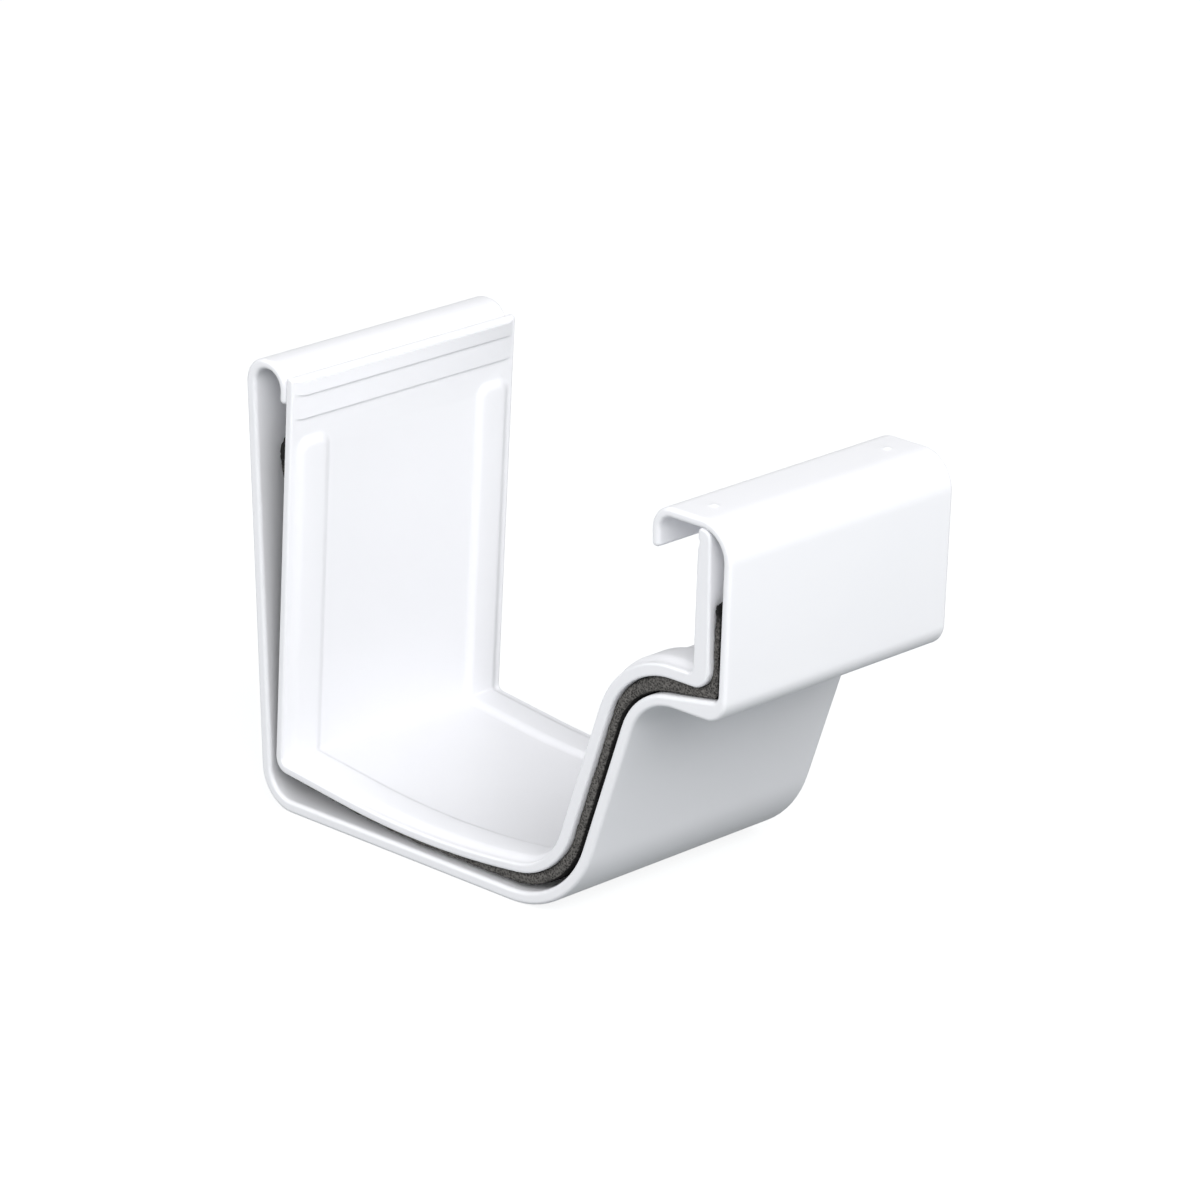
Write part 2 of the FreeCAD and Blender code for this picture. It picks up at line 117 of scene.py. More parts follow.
def draw_section(outline, place):
    """A closed face across the gutter, from pairs of a line and the bend at its end."""
    corners = []
    for index, (line, bend) in enumerate(outline):
        following = outline[(index + 1) % len(outline)][0]
        turn = math.remainder(math.radians(following.heading - line.heading), math.tau)
        corners.append((crossing(line, following), turn, bend * math.tan(abs(turn) / 2)))

    section = bmesh.new()
    start = corners[-1][0] + ahead_of(outline[0][0]) * corners[-1][2]
    pen = section.verts.new((place, *start))
    for (line, bend), (corner, turn, reach) in zip(outline, corners):
        pen = bmesh.ops.extrude_vert_indiv(section, verts=[pen])["verts"][0]
        into = corner - ahead_of(line) * reach
        pen.co = (place, *into)
        if bend:
            centre = into + ahead_of(line).orthogonal() * math.copysign(bend, turn)
            spun = bmesh.ops.spin(section, geom=[pen], cent=(place, *centre), axis=(1, 0, 0),
                                  dvec=(0, 0, 0), angle=turn, steps=bend_steps(bend, turn),
                                  use_duplicate=False)
            pen = spun["geom_last"][0]
    bmesh.ops.remove_doubles(section, verts=section.verts, dist=NEAR)
    bmesh.ops.contextual_create(section, geom=section.edges)
    return section


def extrude_along(section, length):
    """Pull the drawn face along the gutter into a closed solid."""
    pulled = bmesh.ops.extrude_face_region(section, geom=section.faces[:])
    points = [item for item in pulled["geom"] if isinstance(item, bmesh.types.BMVert)]
    bmesh.ops.translate(section, vec=(length, 0, 0), verts=points)
    bmesh.ops.recalc_face_normals(section, faces=section.faces)


print("a quarter bend of 5 mm is drawn in", bend_steps(5.0, math.pi / 2), "steps")

# %% [markdown]
# ## Rounded ends
# A moulding's ends are a little round. A bevel would do, but on bends it pushes some points past the
# outline. An inset never leaves the outline, so each end face is inset a few times, and each step follows
# a quarter circle: first mostly outwards, then mostly inwards. One flat step before and one after keep the
# wall and the end face straight to the light, because a point's normal is the mean of the faces around it.

# %% Rounding the ends
LENGTH = 60.4
FLAT_STEP, FACES_END = 0.15, 0.99


def end_reach(radius):
    """How far from the middle a flat end lies before it is rounded."""
    return LENGTH / 2 - radius - FLAT_STEP


def draw_prism(outline, radius):
    """A solid with the drawn section, short of the connector's ends by what the rounding adds."""
    solid = draw_section(outline, -end_reach(radius))
    extrude_along(solid, end_reach(radius) * 2)
    return solid


def quarter_circle(radius, steps):
    """The inset and the depth of each step along a quarter circle."""
    angles = [math.pi / 2 * step / steps for step in range(steps + 1)]
    for start, stop in zip(angles, angles[1:]):
        thickness = radius * (math.cos(start) - math.cos(stop))
        depth = radius * (math.sin(stop) - math.sin(start))
        yield thickness, depth


def round_ends(solid, radius, steps):
    """Inset both end faces step by step, so that their edges become round."""
    moves = [(0.0, FLAT_STEP), *quarter_circle(radius, steps), (FLAT_STEP / 2, 0.0)]
    for side in (-1, 1):
        place = side * end_reach(radius)
        ends = [face for face in solid.faces
                if face.normal.x * side > FACES_END and abs(face.calc_center_median().x - place) < NEAR]
        for thickness, depth in moves:
            bmesh.ops.inset_region(solid, faces=ends, thickness=thickness, depth=depth,
                                   use_even_offset=True, use_boundary=True)


print("the connector is", LENGTH, "mm long")

# %% [markdown]
# ## Cuts and swellings
# The mouldings carry low raised shapes: studs, bands and ledges. A raised shape could be a second solid
# sunk into the wall, but its hidden faces would stay inside. Here planes cut the wall's own faces along the
# shape's outline, and insets or an extrusion lift what lies inside it, so the skin stays whole.

# %% Cutting and swelling
def cut_faces(solid, faces, point, normal):
    """Cut some faces with a plane."""
    edges = dict.fromkeys(edge for face in faces for edge in face.edges)
    points = dict.fromkeys(vert for face in faces for vert in face.verts)
    bmesh.ops.bisect_plane(solid, geom=[*faces, *edges, *points], dist=NEAR,
                           plane_co=point, plane_no=normal)


def soft_rise(rise, steps):
    """Heights that climb slowly, then quickly, then slowly."""
    return [rise * (1.0 - math.cos(math.pi * step / steps)) / 2.0 for step in range(steps + 1)]


def swell(solid, faces, width, rise, steps):
    """Raise faces with a soft flank, made of small insets."""
    heights = soft_rise(rise, steps)
    for start, stop in zip(heights, heights[1:]):
        bmesh.ops.inset_region(solid, faces=faces, thickness=width / steps, depth=stop - start,
                               use_even_offset=True, use_boundary=True)


print("a swelling of 1 mm climbs through", [round(height, 2) for height in soft_rise(1.0, 4)])

# %% [markdown]
# ## From a solid to a piece
# A finished solid is scaled to metres and takes the place of its imported solid. It rides on the one body.
# Faces could be set flat or smooth one by one. Smooth shading with sharp edges from a set angle is simpler,
# and keeps bends round and the few true corners crisp.

# %% Turning a solid into a piece
MM = 0.001
SHARP_FROM = 38.0


def make_piece(solid, name, node):
    """Put a solid in the scene, in metres, in the place of a packed one."""
    bmesh.ops.scale(solid, vec=(MM, MM, MM), verts=solid.verts)
    mesh = bpy.data.meshes.new(name)
    solid.to_mesh(mesh)
    solid.free()
    mesh.shade_smooth()
    mesh.set_sharp_from_angle(angle=math.radians(SHARP_FROM))
    piece = bpy.data.objects.new(name, mesh)
    bpy.context.scene.collection.objects.link(piece)
    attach(piece, "root")
    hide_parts(node)
    print(name, "has", len(mesh.polygons), "faces")
    return piece


print("edges are sharp from", SHARP_FROM, "degrees")

# %% [markdown]
# ## The outer shell
# The shell is the moulding that is seen from outside: a flat floor, a back with a rolled hook on top, and
# the ogee front with its crown and curled lip. Its wall is thinner at the front and the hook, so a Solidify
# modifier, which keeps one thickness, won't do. The outline goes once round both sides of the wall, and the
# hook follows the liner's leaning back. The sizes are the solid's, but for the inner corner behind the
# front face. The wall thickens there, so the shelf's inner side climbs to the front by NOOK_TILT.

# %% Sizes of the shell
SHELL_WALL, FRONT_WALL, HOOK_WALL = 2.6, 2.0, 1.9
BACK_FOOT, BACK_LEAN, BACK_BEND = 63.75, 1.6, 8.5
FLOOR_REACH, SLOPE_LEAN, FLOOR_BEND = 24.15, 20.3, 23.8
SHELF_HEIGHT, HUMP_BEND, SHELF_BEND = 51.4, 11.7, 5.0
FRONT_FOOT, FRONT_LEAN, FRONT_HEIGHT = 64.7, 2.6, 90.7
CROWN_BEND, LIP_BEND, LIP_REACH, LIP_DROP = 7.5, 5.0, 45.75, 8.5
HOOK_HEIGHT, HOOK_DROP, HOOK_BEND = 94.0, 8.0, 5.4
NOOK_BEND, NOOK_TILT = 1.6, 9.0
LINER_LEAN, FOOT_GAP = 3.8, 0.7
# A wall's free edge is rounded by this share of its thickness
EDGE_SHARE = 0.45
print("the shell stands", HOOK_HEIGHT, "mm high")

# %% Lines of the shell
back_line = Line(DOWNWARDS - BACK_LEAN, BACK_FOOT * cosine(BACK_LEAN))
floor_line = level(0.0, TO_FRONT)
slope_line = Line(UPWARDS + SLOPE_LEAN, FLOOR_REACH * cosine(SLOPE_LEAN))
shelf_line = level(SHELF_HEIGHT, TO_FRONT)
front_offset = FRONT_FOOT * cosine(FRONT_LEAN) - SHELF_HEIGHT * sine(FRONT_LEAN)
front_line = Line(UPWARDS + FRONT_LEAN, front_offset)

inner_slope = turned(slope_line, SHELL_WALL)
hump_reach = (HUMP_BEND + SHELL_WALL) * math.tan(math.radians(90.0 - SLOPE_LEAN) / 2)
hump_start = crossing(turned(shelf_line, SHELL_WALL), inner_slope) - Vector((hump_reach, 0.0))
inner_shelf = through(hump_start, TO_BACK - NOOK_TILT)

liner_foot = BACK_FOOT - SHELL_WALL / cosine(BACK_LEAN) - FOOT_GAP
liner_back = Line(DOWNWARDS + LINER_LEAN, liner_foot * cosine(LINER_LEAN))
print("the slope starts", round(-crossing(floor_line, slope_line).x, 2), "mm in front of the middle")

# %% Outline of the shell
lip_edge, hook_tip = FRONT_WALL * EDGE_SHARE, HOOK_WALL * EDGE_SHARE
shell_outline = [
    (turned(liner_back), HOOK_BEND),
    (level(HOOK_HEIGHT, TO_BACK), HOOK_BEND),
    (back_line, BACK_BEND),
    (floor_line, FLOOR_BEND),
    (slope_line, HUMP_BEND),
    (shelf_line, SHELF_BEND),
    (front_line, CROWN_BEND),
    (level(FRONT_HEIGHT, TO_BACK), LIP_BEND),
    (Line(DOWNWARDS, -LIP_REACH), lip_edge),
    (level(FRONT_HEIGHT - LIP_DROP, TO_FRONT), lip_edge),
    (Line(UPWARDS, LIP_REACH + FRONT_WALL), LIP_BEND - FRONT_WALL),
    (level(FRONT_HEIGHT - FRONT_WALL, TO_FRONT), CROWN_BEND - FRONT_WALL),
    (turned(front_line, FRONT_WALL), NOOK_BEND),
    (inner_shelf, HUMP_BEND + SHELL_WALL),
    (inner_slope, FLOOR_BEND - SHELL_WALL),
    (turned(floor_line, SHELL_WALL), BACK_BEND - SHELL_WALL),
    (turned(back_line, SHELL_WALL), HOOK_BEND - HOOK_WALL),
    (level(HOOK_HEIGHT - HOOK_WALL, TO_FRONT), HOOK_BEND - HOOK_WALL),
    (moved(liner_back, HOOK_WALL), hook_tip),
    (level(HOOK_HEIGHT - HOOK_DROP, TO_FRONT), hook_tip),
]
print("the shell's outline has", len(shell_outline), "runs")

# %% [markdown]
# ### Studs
# Two low studs sit on the front's flat top. A ring of planes cuts a round face out of the top, and a
# swelling makes it a dome. Two cuts across the top come first, so that the ring only has a short stretch
# to cut.

# %% Studs of the shell
STUD_REACH, STUD_SPACING, STUD_PLOT = 55.35, 46.8, 2.0
STUD_RADIUS, STUD_RISE, FLANK_SHARE = 1.25, 0.3, 0.85
STUD_SIDES, STUD_STEPS = 20, 6
FACES_UP = 0.999


def top_faces(solid):
    """The faces of the front's flat top."""
    return [face for face in solid.faces
            if face.normal.z > FACES_UP and abs(face.verts[0].co.z - FRONT_HEIGHT) < NEAR]


def top_face_at(solid, point):
    return min(top_faces(solid), key=lambda face: (face.calc_center_median() - point).length)


def add_stud(solid, along):
    """Cut a round out of the front's top, and swell it into a low dome."""
    middle = Vector((along, -STUD_REACH, FRONT_HEIGHT))
    for side in (-1, 1):
        cut_faces(solid, top_faces(solid), middle + Vector((side * STUD_PLOT, 0, 0)), (1, 0, 0))
    for turn in range(STUD_SIDES):
        angle = 360.0 * turn / STUD_SIDES
        outwards = Vector((cosine(angle), sine(angle), 0.0))
        cut_faces(solid, [top_face_at(solid, middle)], middle + outwards * STUD_RADIUS, outwards)
    stud = [top_face_at(solid, middle)]
    swell(solid, stud, STUD_RADIUS * FLANK_SHARE, STUD_RISE, STUD_STEPS)


print("studs rise", STUD_RISE, "mm")

# %% Shell
SHELL_ROUND, SHELL_STEPS = 0.75, 5
shell_solid = draw_prism(shell_outline, SHELL_ROUND)
round_ends(shell_solid, SHELL_ROUND, SHELL_STEPS)
for side in (-1, 1):
    add_stud(shell_solid, side * STUD_SPACING / 2)
shell = make_piece(shell_solid, "shell", "outer_shell")

# %% [markdown]
# ## The liner
# The liner lies inside the shell and leaves a slit for the gutter. Its floor is a shallow dish, its back
# leans against the hook, and its upright ends in a bead that snaps under the front's top. It is drawn as
# the shell is, from lines that lie a named gap away from the shell's. The upright tapers, thicker at its
# foot, and has a small neck under its bead.

# %% Sizes of the liner
LINER_WALL, RIB_WALL, UPRIGHT_WALL = 1.9, 2.6, 3.1
LINER_TOP, UPRIGHT_TOP = 91.8, FRONT_HEIGHT - FRONT_WALL
FLOOR_GAP, SLOPE_GAP, SHELF_GAP, UPRIGHT_GAP = 2.2, 3.6, 3.2, 3.5
DISH_REACH, DISH_LEAN, DISH_BEND = 16.5, 6.5, 210.0
HEEL_BEND, RISE_BEND, UPRIGHT_BEND, CROOK_BEND = 3.2, 17.5, 4.0, 1.6
TOE_BEND = FLOOR_BEND - SHELL_WALL - SLOPE_GAP
UPRIGHT_TAPER = 1.9
BEAD_OUTER, BEAD_INNER, BEAD_UNDER = 1.86, 0.868, 0.75
NECK_DROP, NECK_DEPTH, NECK_INTO, NECK_OUT = 2.6, 0.4, 40.0, 14.0
NECK_BEND, NECK_FLARE = 0.5, 3.0
print("the liner stands", LINER_TOP, "mm high")

# %% Lines of the liner
def dish_side(lean):
    """A tangent to the floor's dish that leans up to the back or, below zero, to the front."""
    centre = Vector((DISH_REACH, SHELL_WALL + FLOOR_GAP + DISH_BEND))
    return through(centre + Vector((sine(lean), -cosine(lean))) * DISH_BEND, TO_FRONT + lean)


liner_heel = dish_side(DISH_LEAN)
liner_toe = dish_side(-DISH_LEAN)
liner_slope = moved(slope_line, -SHELL_WALL - SLOPE_GAP)
liner_shelf = level(SHELF_HEIGHT + SHELL_WALL + SHELF_GAP, TO_FRONT)
beside_front = moved(front_line, -FRONT_WALL - UPRIGHT_GAP)
upright_corner = crossing(beside_front, level(UPRIGHT_TOP, TO_BACK))
liner_upright = through(upright_corner, beside_front.heading - UPRIGHT_TAPER)
upright_inner = turned(beside_front, UPRIGHT_WALL)
neck = crossing(moved(upright_inner, -NECK_DEPTH), level(UPRIGHT_TOP - NECK_DROP, TO_BACK))
liner_outside = [liner_back, liner_heel, liner_toe, liner_slope, liner_shelf, liner_upright]
print("the upright's neck is", round(neck.y, 1), "mm up")

# %% Outline of the liner
brim = LINER_WALL * EDGE_SHARE
outside_bends = [HEEL_BEND, DISH_BEND, TOE_BEND, RISE_BEND, UPRIGHT_BEND, BEAD_OUTER]
liner_outline = [
    *zip(liner_outside, outside_bends),
    (level(UPRIGHT_TOP, TO_BACK), BEAD_INNER),
    (upright_inner, BEAD_UNDER),
    (through(neck, upright_inner.heading - NECK_INTO), NECK_BEND),
    (through(neck, upright_inner.heading + NECK_OUT), NECK_FLARE),
    (upright_inner, CROOK_BEND),
    (turned(liner_shelf, RIB_WALL), RISE_BEND + RIB_WALL),
    (turned(liner_slope, RIB_WALL), TOE_BEND - RIB_WALL),
    (turned(liner_toe, LINER_WALL), DISH_BEND - LINER_WALL),
    (turned(liner_heel, LINER_WALL), HEEL_BEND - LINER_WALL),
    (turned(liner_back, LINER_WALL), brim),
    (level(LINER_TOP, TO_BACK), brim),
]
LINER_ROUND, LINER_STEPS = 0.5, 4
liner_solid = draw_prism(liner_outline, LINER_ROUND)
print("the plain liner has", len(liner_solid.faces), "faces")

# %% [markdown]
# ### Choosing faces
# What comes next is cut into some of the liner's faces and not others, because a cut line that crosses a
# later inset makes its corners fly off. These tests choose faces by where they lie and which way they look.

# %% Choosing faces of the liner
CHANNEL_BACK_TOP, CHANNEL_FRONT_TOP = 79.5, 73.5
OVER_WATER = Vector((0.0, 20.0, 75.0))
BACK_FROM = 40.0
# A face looks mostly one way where its normal has more than this share that way
MOSTLY = 0.9


def wall_faces(solid):
    """All faces but those of the two ends."""
    return [face for face in solid.faces if abs(face.normal.x) < MOSTLY]


def cut_wall(solid, point, normal, keep):
    """Cut the wall faces that pass a test, and leave the end faces whole."""
    cut_faces(solid, [face for face in wall_faces(solid) if keep(face)], point, normal)


def meets_water(face):
    """Whether a wall face looks at the water, and not at the shell."""
    towards = OVER_WATER - face.calc_center_median()
    towards.x = 0.0
    return face.normal.dot(towards) > 0


def on_back(face):
    return face.calc_center_median().y > BACK_FROM


def in_back_half(face):
    return face.calc_center_median().y > 0


def under_tops(face):
    """Whether a face lies under the upper ends of the channels."""
    top = CHANNEL_BACK_TOP if in_back_half(face) else CHANNEL_FRONT_TOP
    return face.calc_center_median().z < top


print(sum(meets_water(face) for face in wall_faces(liner_solid)), "faces of the liner meet the water")

# %% [markdown]
# ### Ledges
# Two shallow ledges run across the top of the liner's back, one above the other, and fade out just before
# the ends. A thin plate could be joined on with a Boolean, but it would end in a step. Here each ledge's
# faces are extruded as one region, and only the points away from the ends are moved, so the last stretch
# tapers to nothing.

# %% Ledges of the liner
LEDGE_STEP, LEDGE_INSET, LEDGE_TAPER, LEDGE_DROPS = 0.55, 0.9, 1.6, (8.6, 3.5)
ledge_end = LENGTH / 2 - LEDGE_INSET
off_the_back = Vector((0.0, -cosine(LINER_LEAN), -sine(LINER_LEAN)))


def on_back_top(face):
    return on_back(face) and face.calc_center_median().z > LINER_TOP - max(LEDGE_DROPS)


def on_ledge(face, drop):
    """Whether a face of the back's water side lies above a ledge's lower edge and between its ends."""
    middle = face.calc_center_median()
    faces_water = on_back_top(face) and face.normal.dot(off_the_back) > MOSTLY
    return faces_water and LINER_TOP - drop < middle.z < LINER_TOP - brim and abs(middle.x) < ledge_end


def raise_ledge(solid, drop):
    ledge = [face for face in wall_faces(solid) if on_ledge(face, drop)]
    lifted = bmesh.ops.extrude_face_region(solid, geom=ledge)
    points = [item for item in lifted["geom"] if isinstance(item, bmesh.types.BMVert)]
    raised = [vert for vert in points if abs(vert.co.x) < ledge_end - LEDGE_TAPER / 2]
    bmesh.ops.translate(solid, vec=off_the_back * LEDGE_STEP, verts=raised)
    bmesh.ops.delete(solid, geom=ledge, context="FACES_ONLY")
    bmesh.ops.remove_doubles(solid, verts=solid.verts, dist=NEAR)
    print("a ledge", drop, "mm under the liner's top")


for drop in LEDGE_DROPS:
    cut_wall(liner_solid, (0, 0, LINER_TOP - drop), (0, 0, 1), on_back)
for along in (-ledge_end, LEDGE_TAPER - ledge_end, ledge_end - LEDGE_TAPER, ledge_end):
    cut_wall(liner_solid, (along, 0, 0), (1, 0, 0), on_back_top)
for drop in LEDGE_DROPS:
    raise_ledge(liner_solid, drop)

# %% [markdown]
# ### Raised bands and seal channels
# Near each end the liner has a seal channel: hollow on the shell's side, and a raised band on the water
# side. The channel is one inset with a depth below zero. The band is a swelling with a wide, soft flank,
# and planes first trim its upper corners to a round.

# %% Corners of a band
BAND_RIM, BAND_FLANK, BAND_CORNER, BAND_STEPS = 1.15, 2.4, 3.6, 6
CORNER_TURNS = (15.0, 37.0, 53.0, 75.0)


def corner_planes(low, high, top):
    """Planes that trim the two upper corners of a band to a round."""
    planes = []
    for side, edge in ((-1, low), (1, high)):
        centre = Vector((edge - side * BAND_CORNER, 0.0, top - BAND_CORNER))
        for turn in CORNER_TURNS:
            normal = Vector((side * cosine(turn), 0.0, sine(turn)))
            planes.append((centre + normal * BAND_CORNER, normal))
    return planes


def faces_between(solid, low, high, water_side):
    """Wall faces between two places along the gutter, under the channels' tops, on one side of the wall."""
    return [face for face in wall_faces(solid)
            if low < face.calc_center_median().x < high
            and under_tops(face) and meets_water(face) == water_side]


print("a band's corner is trimmed by", len(CORNER_TURNS), "planes")

# %% Bands and channels
CHANNEL_DEPTH, CHANNEL_OUTER, CHANNEL_INNER = 0.9, 28.0, 20.6
CHANNEL_FLANK = 0.08


def raise_band(solid, low, high):
    """Trim a band's upper corners, then lift it with a soft flank."""
    back_trims = corner_planes(low, high, CHANNEL_BACK_TOP)
    front_trims = corner_planes(low, high, CHANNEL_FRONT_TOP)
    trims = {True: back_trims, False: front_trims}
    for half, planes in trims.items():
        for point, normal in planes:
            faces = [face for face in faces_between(solid, low, high, True) if in_back_half(face) == half]
            cut_faces(solid, faces, point, normal)
    band = []
    for face in faces_between(solid, low, high, True):
        middle = face.calc_center_median()
        if all((middle - point).dot(normal) < 0 for point, normal in trims[in_back_half(face)]):
            band.append(face)
    swell(solid, band, BAND_FLANK, CHANNEL_DEPTH, BAND_STEPS)
    print("a band of", len(band), "faces")


def sink_channel(solid, low, high):
    """Press the channel into the shell's side of the wall."""
    hollow = faces_between(solid, low, high, False)
    bmesh.ops.inset_region(solid, faces=hollow, thickness=CHANNEL_FLANK, depth=-CHANNEL_DEPTH,
                           use_even_offset=True, use_boundary=True)


def hidden_under_tops(face):
    return under_tops(face) and not meets_water(face)


def wet_under_tops(face):
    return under_tops(face) and meets_water(face)


def off_the_back_wall(face):
    return not on_back(face)


cut_wall(liner_solid, (0, 0, CHANNEL_BACK_TOP), (0, 0, 1), on_back)
cut_wall(liner_solid, (0, 0, CHANNEL_FRONT_TOP), (0, 0, 1), off_the_back_wall)
for side in (-1, 1):
    low, high = sorted((side * CHANNEL_OUTER, side * CHANNEL_INNER))
    for along in (low, high):
        cut_wall(liner_solid, (along, 0, 0), (1, 0, 0), hidden_under_tops)
    for along in (low - BAND_RIM, high + BAND_RIM):
        cut_wall(liner_solid, (along, 0, 0), (1, 0, 0), wet_under_tops)
    sink_channel(liner_solid, low, high)
    raise_band(liner_solid, low - BAND_RIM, high + BAND_RIM)

# %% Liner
round_ends(liner_solid, LINER_ROUND, LINER_STEPS)
liner = make_piece(liner_solid, "liner", "inner_liner")

# %% [markdown]
# ## The foam strips
# Each strip is a ribbon of dark foam, glued in its channel and pressed out over the channel's sides. A
# cloth simulation would wrinkle it, and foam doesn't wrinkle. So it is drawn as two ribbons, a root in the
# channel and a wider layer on it. A voxel remesh merges both into one skin of small even faces, and
# smoothing rounds its edges.

# %% Outline of a strip
STRIP_PROUD, STRIP_FRONT, STRIP_FOOT, STRIP_CLEAR = 2.4, 1.8, 1.1, 0.9
STRIP_GAP, STRIP_SPREAD = 0.2, 1.6
ROOT_WIDTH = CHANNEL_OUTER - CHANNEL_INNER - STRIP_GAP * 2
strip_outside = [
    (turned(liner_upright, -STRIP_FRONT), NOOK_BEND),
    (inner_shelf, RISE_BEND - STRIP_PROUD),
    (turned(liner_slope, -STRIP_PROUD), TOE_BEND + STRIP_PROUD),
    (level(SHELL_WALL + STRIP_CLEAR, TO_BACK), DISH_BEND),
    (turned(liner_heel, -STRIP_FOOT), HEEL_BEND + STRIP_FOOT),
    (turned(liner_back, -STRIP_FOOT), 0.0),
]


def draw_ribbon(depth, middle, width):
    """A band of foam along the whole section, whose inner side lies at a depth in the liner's wall."""
    inner_lines = [moved(line, -depth) for line in liner_outside]
    inner_bends = [HEEL_BEND - depth, DISH_BEND - depth, TOE_BEND - depth,
                   RISE_BEND + depth, UPRIGHT_BEND - depth, 0.0]
    front_end = (level(CHANNEL_FRONT_TOP - STRIP_GAP, TO_FRONT), 0.0)
    back_end = (level(CHANNEL_BACK_TOP - STRIP_GAP, TO_FRONT), 0.0)
    outline = [*zip(inner_lines, inner_bends), front_end, *strip_outside, back_end]
    ribbon = draw_section(outline, middle - width / 2)
    extrude_along(ribbon, width)
    return ribbon


print("a strip is", round(ROOT_WIDTH, 1), "mm wide in its channel")

# %% Merging the ribbons
CELL, SOFTEN, SOFTNESS = 0.4, 14, 0.5


def even_faces(mesh, size):
    """A copy of a mesh with small faces of one size all over."""
    block = bpy.data.objects.new("foam_block", mesh)
    bpy.context.scene.collection.objects.link(block)
    remesh = block.modifiers.new("even_faces", "REMESH")
    remesh.mode = "VOXEL"
    remesh.voxel_size = size
    ready = block.evaluated_get(bpy.context.evaluated_depsgraph_get())
    even = bpy.data.meshes.new_from_object(ready)
    bpy.data.objects.remove(block)
    return even


def merge_foam(name, middle):
    """A root in the channel and a wider layer that is pressed out, merged into one soft skin."""
    root = draw_ribbon(CHANNEL_DEPTH, middle, ROOT_WIDTH)
    mesh = bpy.data.meshes.new(name)
    root.to_mesh(mesh)
    root.free()
    foam = draw_ribbon(0.0, middle, ROOT_WIDTH + STRIP_SPREAD * 2)
    foam.from_mesh(mesh)
    foam.to_mesh(mesh)
    even = even_faces(mesh, CELL)
    foam.clear()
    foam.from_mesh(even)
    for _ in range(SOFTEN):
        bmesh.ops.smooth_vert(foam, verts=foam.verts, factor=SOFTNESS,
                              use_axis_x=True, use_axis_y=True, use_axis_z=True)
    foam.normal_update()
    return foam


print("foam faces are", CELL, "mm wide")

# %% [markdown]
# ### Frayed skin
# Cut foam is pitted where its cells were opened, it sags a little, and its two upper ends are worn. Noise
# moves each point of the skin along its normal for that. At the back the upper end bulges into the open
# slit like a lens, and at the front it leans on the shell and ends in a ragged tuft. A value on each point
# also holds painted shade, along the walls beside the mouldings and towards the upper ends. The material
# reads it and is darker there.

# %% Fraying the foam
PIT, SAG, PIT_SINK = 0.2, 0.2, 0.5
# Layers of noise, each with its waves in a millimetre and its weight
PITS = ((1.9, 0.6), (4.1, 0.4))
SAGS = ((0.35, 1.0),)
RAGS = ((0.9, 1.0), (2.3, 0.5))
LENS_MIDDLE, LENS_HALF, LENS_RISE = 74.8, 5.2, 1.8
FRONT_UNDER = -50.0
LEAN_FROM, LEAN_REACH, LEAN_POWER = 60.0, 0.4, 1.5
TUFT_FROM, TUFT_RISE, TUFT_PITS = 69.0, 1.6, 2.0
TUFT_MEAN, TUFT_RAGS, TUFT_SLANT, TUFT_MIDDLE = 0.9, 0.8, 0.45, -62.0


def grain(place, layers):
    """Some layers of noise, added up."""
    return sum(noise.noise(place * waves) * weight for waves, weight in layers)


def share_above(height, start):
    """How far up the front's upper end a height is, from 0 at the start to 1 at the channel's top."""
    return max(0.0, (height - start) / (CHANNEL_FRONT_TOP - start))


def fray(point, normal, shift):
    """Where a point of the foam's skin goes."""
    place = point + shift
    out = point + normal * (grain(place, PITS) * PIT + grain(place, SAGS) * SAG - PIT * PIT_SINK)
    if point.y > BACK_FROM:
        lens = max(0.0, 1.0 - ((point.z - LENS_MIDDLE) / LENS_HALF) ** 2)
        out.y += LENS_RISE * lens * max(0.0, normal.y)
    elif point.y < FRONT_UNDER:
        tuft = share_above(point.z, TUFT_FROM)
        ragged = grain(place, RAGS)
        out += normal * ragged * PIT * TUFT_PITS * tuft
        out.y -= LEAN_REACH * share_above(point.z, LEAN_FROM) ** LEAN_POWER
        slanted = TUFT_MEAN + ragged * TUFT_RAGS - (point.y - TUFT_MIDDLE) * TUFT_SLANT
        out.z += TUFT_RISE * tuft * slanted
    return out


print("pits are about", PIT, "mm deep")

# %% Foam strips
# Where painted shade darkens the foam: along its walls, and from these heights up to its upper ends
WALL_FROM, WALL_SPAN = 0.8, 0.35
SHADE_BACK, SHADE_FRONT, SHADE_SPAN = 70.0, 68.5, 4.0


def painted_shade(point, normal):
    """How much painted shade a point gets, from 0 to 1: along the walls and towards the upper ends."""
    wall = (WALL_FROM - abs(normal.x)) / WALL_SPAN
    end = (point.z - (SHADE_BACK if point.y > 0 else SHADE_FRONT)) / SHADE_SPAN
    return min(1.0, max(wall, end, 0.0))


def make_strip(name, node, middle, shift):
    foam = merge_foam(name, middle)
    # Each point keeps its painted shade, which the foam material reads
    painted_shade_attribute = foam.verts.layers.float.new("painted_shade")
    for vert in foam.verts:
        vert[painted_shade_attribute] = painted_shade(vert.co, vert.normal)
    places = [fray(vert.co.copy(), vert.normal.copy(), shift) for vert in foam.verts]
    for vert, place in zip(foam.verts, places):
        vert.co = place
    strip = make_piece(foam, name, node)
    return strip


strip_middle = (CHANNEL_OUTER + CHANNEL_INNER) / 2
strip_left = make_strip("strip_left", "seal_strip_left", -strip_middle, Vector((3, 5, 7)))
strip_right = make_strip("strip_right", "seal_strip_right", strip_middle, Vector((31, 17, 43)))

# %% [markdown]
# ## White vinyl
# Moulded vinyl is almost one colour, but never quite: the melt leaves faint clouds, and the gloss wanders
# in streaks along the gutter. Both mouldings share this effect, so it is a node group that puts out a
# colour and a roughness. The shader stays in each material, with its own constants. A bump isn't needed,
# because the mouldings are smooth and their edges, bands and ledges are real shapes.

